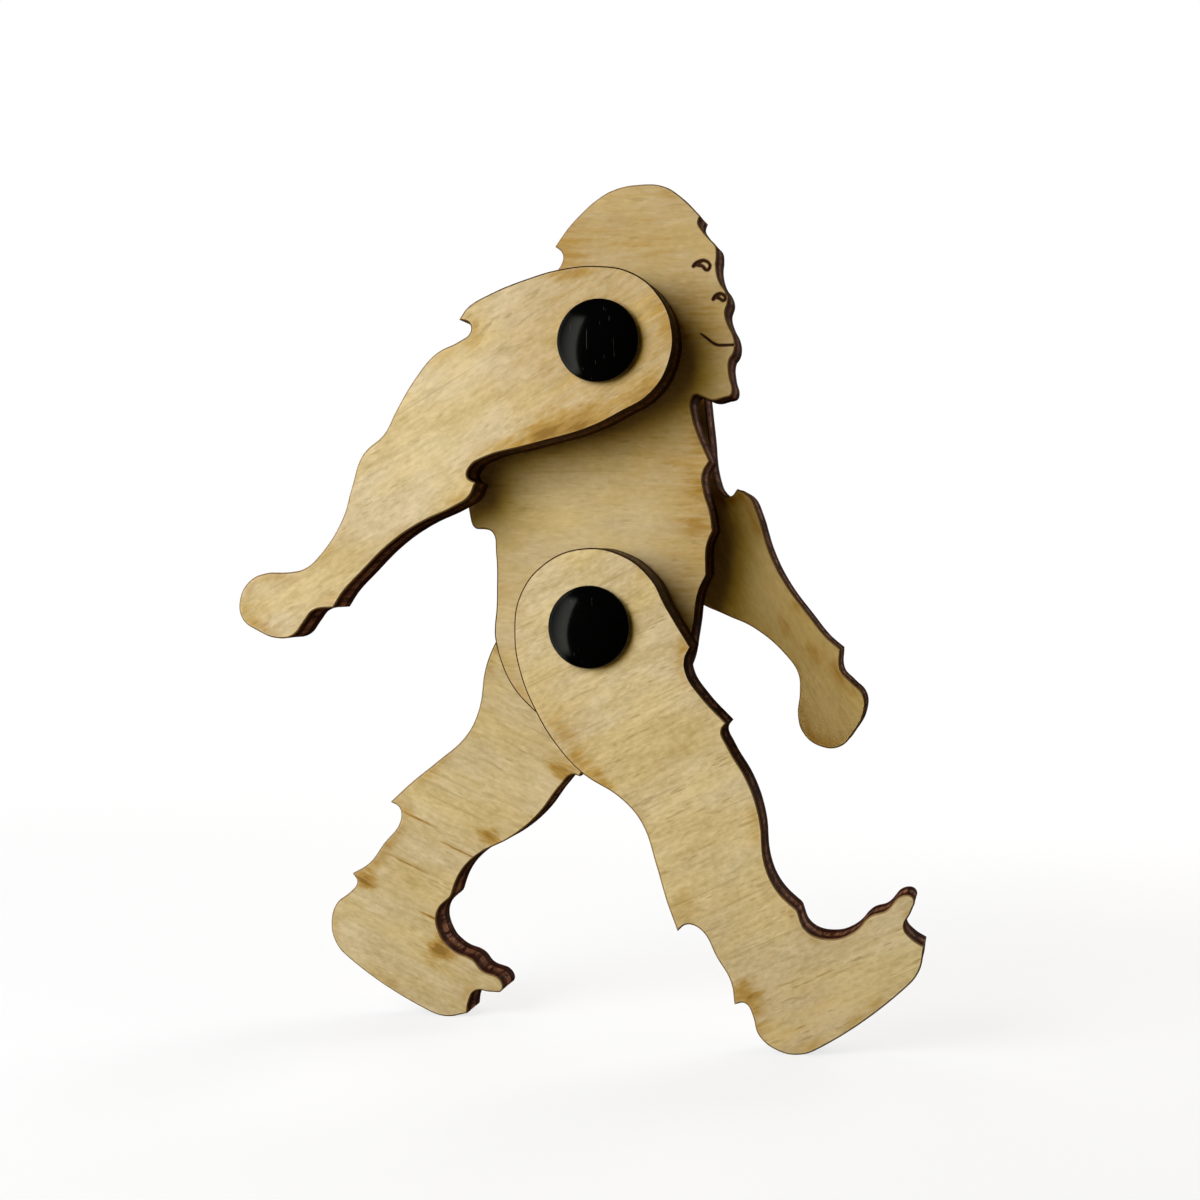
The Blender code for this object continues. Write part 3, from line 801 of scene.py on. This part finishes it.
rightLegBoard = {
    "name": "rightLegBoard", "node": "right_leg", "body": "right_leg",
    "grainAngle": 25.0, "seed": 7.9, "contrast": 1.5, "halo": 0.32, "tone": (1.085, 1.12, 1.20),
    # the last, broad spot makes the foot darker
    "stainsAndShade": [
        (-3.2, -9.6, 1.2, 1.8, 0.33), (-1.4, -12.6, 1.4, 1.9, 0.38), (0.6, -15.2, 1.3, 1.5, 0.36),
        (9.1, -2.2, 0.8, 0.8, 0.28), (14.4, -35.0, 1.3, 1.3, 0.65), (8.8, -26.6, 1.6, 2.2, 0.25),
        (29.9, -27.4, 0.7, 0.9, 0.35), (18.5, -38.0, 8.0, 5.0, 0.24),
    ],
}
leftLegBoard = {
    "name": "leftLegBoard", "node": "left_leg", "body": "left_leg",
    "grainAngle": -25.0, "seed": 12.6, "contrast": 1.25, "halo": 0.42, "tone": (1.005, 1.03, 1.06),
    "stainsAndShade": [
        (-5.3, -15.0, 1.6, 0.9, 0.85), (-13.4, -21.7, 1.2, 0.8, 0.85), (-19.0, -33.4, 1.1, 1.7, 1.05),
        (-26.7, -26.6, 1.1, 0.8, 0.75), (-22.8, -18.4, 1.4, 0.7, 0.35), (-20.8, -20.2, 1.5, 0.10, 1.2),
        (-16.1, -23.6, 2.0, 0.09, 1.4), (-22.0, -24.9, 1.5, 0.09, 1.2), (-19.6, -30.4, 1.3, 0.12, 1.2),
    ],
}
leftArmBoard = {
    "name": "leftArmBoard", "node": "left_arm", "body": "left_arm",
    # its tone, darker and more amber than the other plates, is painted shade for the arm behind the body
    "grainAngle": -62.0, "seed": 15.2, "contrast": 0.9, "halo": 0.5, "tone": (0.80, 0.74, 0.54),
    "stainsAndShade": [(19.2, -30.6, 1.6, 1.2, 0.35), (16.4, -28.0, 2.0, 0.9, 0.30)],
}

charredSide = cutMaterial()
buildPlate(bodyBoard, hip, burntStrokes())
buildPlate(rightArmBoard, shoulder, [])
buildPlate(leftArmBoard, shoulder, [])
buildPlate(rightLegBoard, hip, [])
buildPlate(leftLegBoard, hip, [])


# Snap rivets: a post with a barrel, and a cap whose pin goes into it

rivetShape = {
    "sides": 128,
    "domeSteps": 24,
    "edgeSteps": 6,
    "sharpAngle": 35,     # degrees
    "rim": 0.5,           # mm, straight side of a head
    "dome": 1.1,
    "edge": 0.25,
    "barrelRadius": 2.2,
    "barrelWall": 0.8,
    "barrelSetback": 0.6,
    "pinPlay": 0.3,
    "pinLength": 9.0,
    "boreSpare": 1.0,
    "chamfer": 0.15,
    "headChamfer": 0.06,
}
rivetFinish = {
    "black": (0.0012, 0.0012, 0.0013, 1),
    "worn": (0.03, 0.03, 0.028, 1),
    "swirl": ((0.45, 0.45, 0.45), 2.0),  # noises, as in the veneer
    "scratch": ((5.0, 2.0, 0.22), 1.0),
    "scratchShows": (0.73, 0.78),
    "roughness": 0.13,
    "swirlRoughness": 0.10,
    "scratchRoughness": 0.10,
    "ior": 1.46,
    "bump": 0.12,
    "bumpDepth": 0.02,  # mm
}


def rivetMaterial():
    look = rivetFinish
    material, tree, shader = newMaterial("blackRivet")
    place = placeInMm(tree)
    swirl = drawnOut(tree, place, *look["swirl"])
    scratch = ease(tree, drawnOut(tree, place, *look["scratch"]), *look["scratchShows"])
    feed(tree, mixColour(tree, scratch, look["black"], look["worn"]), shader.inputs["Base Color"])
    rough = weighted(tree, look["roughness"], [(swirl, look["swirlRoughness"])])
    rough = calc(tree, "ADD", rough, calc(tree, "MULTIPLY", scratch, look["scratchRoughness"]))
    feed(tree, rough, shader.inputs["Roughness"])
    shader.inputs["IOR"].default_value = look["ior"]
    putBump(tree, shader, swirl, look)
    return material


def headProfile(radius, top):  # (radius, height) from the crown down to the underside
    shape = rivetShape
    base = top - shape["dome"] - shape["rim"]
    reach = radius - shape["edge"]
    sphere = (reach**2 + shape["dome"]**2) / (2 * shape["dome"])
    middle = top - sphere
    widest = math.asin(reach / sphere)
    points = []
    for step in range(shape["domeSteps"] + 1):
        angle = widest * step / shape["domeSteps"]
        points.append((sphere * math.sin(angle), middle + sphere * math.cos(angle)))
    for step in range(1, shape["edgeSteps"] + 1):  # rounding from the dome into the rim
        angle = widest + (math.pi / 2 - widest) * step / shape["edgeSteps"]
        points.append((
            reach + shape["edge"] * (math.sin(angle) - math.sin(widest)) / (1 - math.sin(widest)),
            base + shape["rim"] - shape["edge"] * (1 - math.cos(angle) / math.cos(widest)),
        ))
    points += [(radius, base + shape["headChamfer"]), (radius - shape["headChamfer"], base)]
    return points, base


def postProfile(radius, top):
    shape = rivetShape
    points, base = headProfile(radius, top)
    outer = shape["barrelRadius"]
    inner = outer - shape["barrelWall"]
    end = -base + shape["barrelSetback"]
    boreEnd = -base + shape["pinLength"] + shape["boreSpare"]
    cut = shape["chamfer"]
    points += [(outer + cut, base), (outer, base - cut), (outer, end + cut), (outer - cut, end)]
    points += [(inner + cut, end), (inner, end + cut), (inner, boreEnd), (0.0, boreEnd)]
    return points


def capProfile(radius, top):
    shape = rivetShape
    points, base = headProfile(radius, top)
    pin = shape["barrelRadius"] - shape["barrelWall"] - shape["pinPlay"]
    end = base - shape["pinLength"]
    cut = shape["chamfer"]
    points += [(pin + cut, base), (pin, base - cut), (pin, end + cut), (pin - cut, end), (0.0, end)]
    return points


def buildRivet(name, node, axis, profileOf, facing):
    low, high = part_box(node)
    radius = (high.x - low.x) / 2 / mm
    top = (high.y if facing > 0 else -low.y) / mm
    profile = profileOf(radius, top)
    sides = rivetShape["sides"]
    corners = [(axis.x, facing * profile[0][1], axis.z)]
    for reach, height in profile[1:-1]:
        for index in range(sides):
            angle = -facing * 2 * math.pi * index / sides
            x, z = axis.x + reach * math.cos(angle), axis.z + reach * math.sin(angle)
            corners.append((x, facing * height, z))
    last = len(corners)
    corners.append((axis.x, facing * profile[-1][1], axis.z))
    faces = []
    for index in range(sides):
        after = (index + 1) % sides
        faces.append((0, 1 + index, 1 + after))
        for row in range(len(profile) - 3):
            near, far = 1 + row * sides, 1 + (row + 1) * sides
            faces.append((near + index, far + index, far + after, near + after))
        faces.append((last - sides + index, last, last - sides + after))
    mesh = bpy.data.meshes.new(name)
    mesh.from_pydata([tuple(value * mm for value in corner) for corner in corners], [], faces)
    mesh.materials.append(blackRivet)
    mesh.shade_smooth()
    mesh.set_sharp_from_angle(angle=math.radians(rivetShape["sharpAngle"]))
    piece = bpy.data.objects.new(name, mesh)
    bpy.context.scene.collection.objects.link(piece)
    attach(piece, "body")
    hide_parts(node)
    print(name, "turned:", len(faces), "faces")


blackRivet = rivetMaterial()
for place, axis in (("shoulder", shoulder), ("hip", hip)):
    buildRivet(place + "RivetPost", place + "_rivet_post", axis, postProfile, -1)
    buildRivet(place + "RivetCap", place + "_rivet_cap", axis, capProfile, 1)


# Floor, light and camera

floorLook = {
    "size": 6.0,       # m
    "sink": 0.01,      # mm below the feet
    "colour": (0.95, 0.95, 0.945, 1),
    "roughness": 0.9,
    "bounce": (0.13, 0.09, 0.04, 1),  # what it throws back onto the figure
    "white": 0.75,     # share of pure white near the figure
    "fadeFrom": 0.07,  # m from the figure, where the floor begins to turn pure white
    "fadeTo": 0.30,
}


def makeFloor():
    half = floorLook["size"] / 2
    drop = cadBox[0].z - floorLook["sink"] * mm
    corners = [(-half, -half, drop), (half, -half, drop), (half, half, drop), (-half, half, drop)]
    mesh = bpy.data.meshes.new("paleFloor")
    mesh.from_pydata(corners, [], [(0, 1, 2, 3)])
    material, tree, shader = newMaterial("paleFloor")
    shader.inputs["Base Color"].default_value = floorLook["colour"]
    shader.inputs["Roughness"].default_value = floorLook["roughness"]
    shader.inputs["Specular IOR Level"].default_value = 0.0
    white = putNode(tree, "Emission", {"Color": (1, 1, 1, 1), "Strength": 1.0})
    spot = putNode(tree, "TexCoord").outputs["Object"]
    away = putNode(tree, "VectorMath", {0: spot}, operation="LENGTH").outputs["Value"]
    share = ease(tree, away, floorLook["fadeFrom"], floorLook["fadeTo"], floorLook["white"], 1.0)
    seen = putNode(tree, "MixShader", {0: share, 1: shader.outputs[0], 2: white.outputs[0]})
    bounce = putNode(tree, "BsdfDiffuse", {"Color": floorLook["bounce"]})
    mixed = putNode(tree, "MixShader", {0: seenRays(tree), 1: bounce.outputs[0], 2: seen.outputs[0]})
    feed(tree, mixed.outputs[0], tree.nodes["Material Output"].inputs["Surface"])
    mesh.materials.append(material)
    floor = bpy.data.objects.new("paleFloor", mesh)
    bpy.context.scene.collection.objects.link(floor)
    floor.visible_glossy = False  # the rivets mirror the dark room instead


def seenRays(tree):  # 1 for what the camera, a reflection or glass sees
    path = putNode(tree, "LightPath").outputs
    total = calc(tree, "ADD", path["Is Camera Ray"], path["Is Glossy Ray"])
    return calc(tree, "ADD", total, path["Is Transmission Ray"], clamp=True)


# Weak warm light from all round, which lifts the deepest shade
fill = {"colour": (1.0, 0.55, 0.12, 1), "strength": 0.028}


def makeWorld():
    world = bpy.data.worlds.new("softRoom")
    world.use_nodes = True
    tree = world.node_tree
    soft = tree.nodes["Background"]
    soft.inputs["Color"].default_value = fill["colour"]
    soft.inputs["Strength"].default_value = fill["strength"]
    white = putNode(tree, "Background", {"Color": (1, 1, 1, 1), "Strength": 1.0})
    mixed = putNode(tree, "MixShader", {0: seenRays(tree), 1: soft.outputs[0], 2: white.outputs[0]})
    feed(tree, mixed.outputs[0], tree.nodes["World Output"].inputs["Surface"])
    bpy.context.scene.world = world


# The key light is a wide window in two halves. The warm one is nearer the camera, for golden soft shade
coolHalf = {
    "towards": (-0.66, -0.64, 0.40),
    "distance": 0.30,  # m
    "size": 0.24,      # m
    "power": 1.24,     # W
    "colour": (0.38, 0.47, 0.84),
}
warmHalf = {
    "towards": (-0.54, -0.77, 0.34),
    "distance": 0.30,
    "size": 0.26,
    "power": 1.24,
    "colour": (0.60, 0.505, 0.11),
}
backLamp = {
    "towards": (-0.42, 0.80, 0.43),
    "distance": 0.42,
    "size": 0.30,
    "power": 0.7,
    "colour": (1.0, 0.985, 0.95),
}
sideLamp = {
    "towards": (0.48, 0.83, 0.26),
    "distance": 0.42,
    "size": 0.26,
    "power": 1.7,
    "colour": (1.0, 0.985, 0.95),
}


def makeLamp(name, look):
    lamp = bpy.data.lights.new(name, "AREA")
    lamp.shape = "SQUARE"
    lamp.size = look["size"]
    lamp.energy = look["power"]
    lamp.color = look["colour"]
    source = bpy.data.objects.new(name, lamp)
    aim = Vector((0, 0, hip.z * mm))
    side = Vector(look["towards"]).normalized()
    source.location = aim + side * look["distance"]
    source.rotation_mode = "QUATERNION"
    source.rotation_quaternion = side.to_track_quat("Z", "Y")
    source.visible_glossy = False
    bpy.context.scene.collection.objects.link(source)


# What the black rivets mirror: a dark room with a tall window on the left and a smaller one behind
mirrorRoom = {
    "radius": 0.8,    # m
    "low": -0.9,      # m
    "high": 1.7,      # m
    "sides": 72,
    "dark": 0.002,
    "lean": 0.2,      # degrees that a window shifts to the front for each degree up
    "sideEdge": 2.0,  # degrees over which a window's edges turn dark
    "bottomEdge": 16.0,
    "topEdge": 8.0,
    "windows": [  # degrees left of the front from its sharp edge to its soft one, degrees up, glow
        (43.0, 88.0, -42.0, 46.0, 1.05),
        (-150.0, -112.0, -36.0, 46.0, 0.50),
    ],
    "tint": (1.0, 1.02, 0.90, 1),
}


def windowGlow(tree):
    room = mirrorRoom
    spot = putNode(tree, "SeparateXYZ", {0: putNode(tree, "TexCoord").outputs["Object"]}).outputs
    leftward, frontward = (calc(tree, "MULTIPLY", spot[axis], -1.0) for axis in "XY")
    left = calc(tree, "MULTIPLY", calc(tree, "ARCTAN2", leftward, frontward), math.degrees(1))
    rise = calc(tree, "MULTIPLY", calc(tree, "ARCTAN2", spot["Z"], room["radius"]), math.degrees(1))
    left = calc(tree, "ADD", left, calc(tree, "MULTIPLY", rise, room["lean"]))
    total = room["dark"]
    for start, end, bottom, top, glow in room["windows"]:
        sharpEdge = ease(tree, left, start, start + room["sideEdge"])
        softEdge = ease(tree, left, start, end, 1.0, 0.0)
        share = calc(tree, "MULTIPLY", sharpEdge, softEdge)
        share = calc(tree, "MULTIPLY", share, ease(tree, rise, bottom, bottom + room["bottomEdge"]))
        share = calc(tree, "MULTIPLY", share, ease(tree, rise, top - room["topEdge"], top, 1.0, 0.0))
        total = calc(tree, "ADD", total, calc(tree, "MULTIPLY", share, glow))
    return total


def makeMirrorRoom():
    room = mirrorRoom
    sides = room["sides"]
    corners = []
    for level in (room["low"], room["high"]):
        for index in range(sides):
            angle = 2 * math.pi * index / sides
            corners.append((-room["radius"] * math.sin(angle), -room["radius"] * math.cos(angle), level))
    faces = []
    for index in range(sides):
        after = (index + 1) % sides
        faces.append((index, after, sides + after, sides + index))
    faces += [tuple(range(sides)), tuple(range(sides, 2 * sides))]
    mesh = bpy.data.meshes.new("mirrorRoom")
    mesh.from_pydata(corners, [], faces)
    material, tree, shader = newMaterial("roomWalls")
    glow = putNode(tree, "Emission", {"Color": room["tint"], "Strength": windowGlow(tree)})
    feed(tree, glow.outputs[0], tree.nodes["Material Output"].inputs["Surface"])
    mesh.materials.append(material)
    walls = bpy.data.objects.new("mirrorRoom", mesh)
    bpy.context.scene.collection.objects.link(walls)
    walls.visible_camera = False
    walls.visible_diffuse = False
    walls.visible_transmission = False
    walls.visible_shadow = False


photoCamera = {
    "lens": 57.0,
    "sensor": 36.0,
    "turn": 12.0,     # degrees round to the figure's front
    "tilt": 1.055,    # degrees down
    "roll": -1.10,
    "fromHip": (38.908, -186.323, 5.961),  # mm, before the roll
    "nearest": 0.01,  # m, what is nearer isn't drawn
}


def makeCamera():
    turn, tilt = math.radians(photoCamera["turn"]), math.radians(photoCamera["tilt"])
    ahead = Vector((-math.sin(turn) * math.cos(tilt), math.cos(turn) * math.cos(tilt), -math.sin(tilt)))
    across = Vector((math.cos(turn), math.sin(turn), 0))
    upward = across.cross(ahead)
    roll = Matrix.Rotation(-math.radians(photoCamera["roll"]), 3, "Y")
    place = (hip + roll @ Vector(photoCamera["fromHip"])) * mm
    facing = Matrix((roll @ across, roll @ upward, roll @ -ahead)).transposed()
    lens = bpy.data.cameras.new("photoCamera")
    lens.lens = photoCamera["lens"]
    lens.sensor_width = photoCamera["sensor"]
    lens.clip_start = photoCamera["nearest"]
    camera = bpy.data.objects.new("photoCamera", lens)
    camera.matrix_world = Matrix.Translation(place) @ facing.to_4x4()
    bpy.context.scene.collection.objects.link(camera)
    bpy.context.scene.camera = camera


makeFloor()
makeWorld()
makeLamp("coolWindow", coolHalf)
makeLamp("warmWindow", warmHalf)
makeLamp("backWindow", backLamp)
makeLamp("sideWindow", sideLamp)
makeMirrorRoom()
makeCamera()
bpy.context.scene.view_settings.view_transform = "Standard"
print("floor, light and camera set")
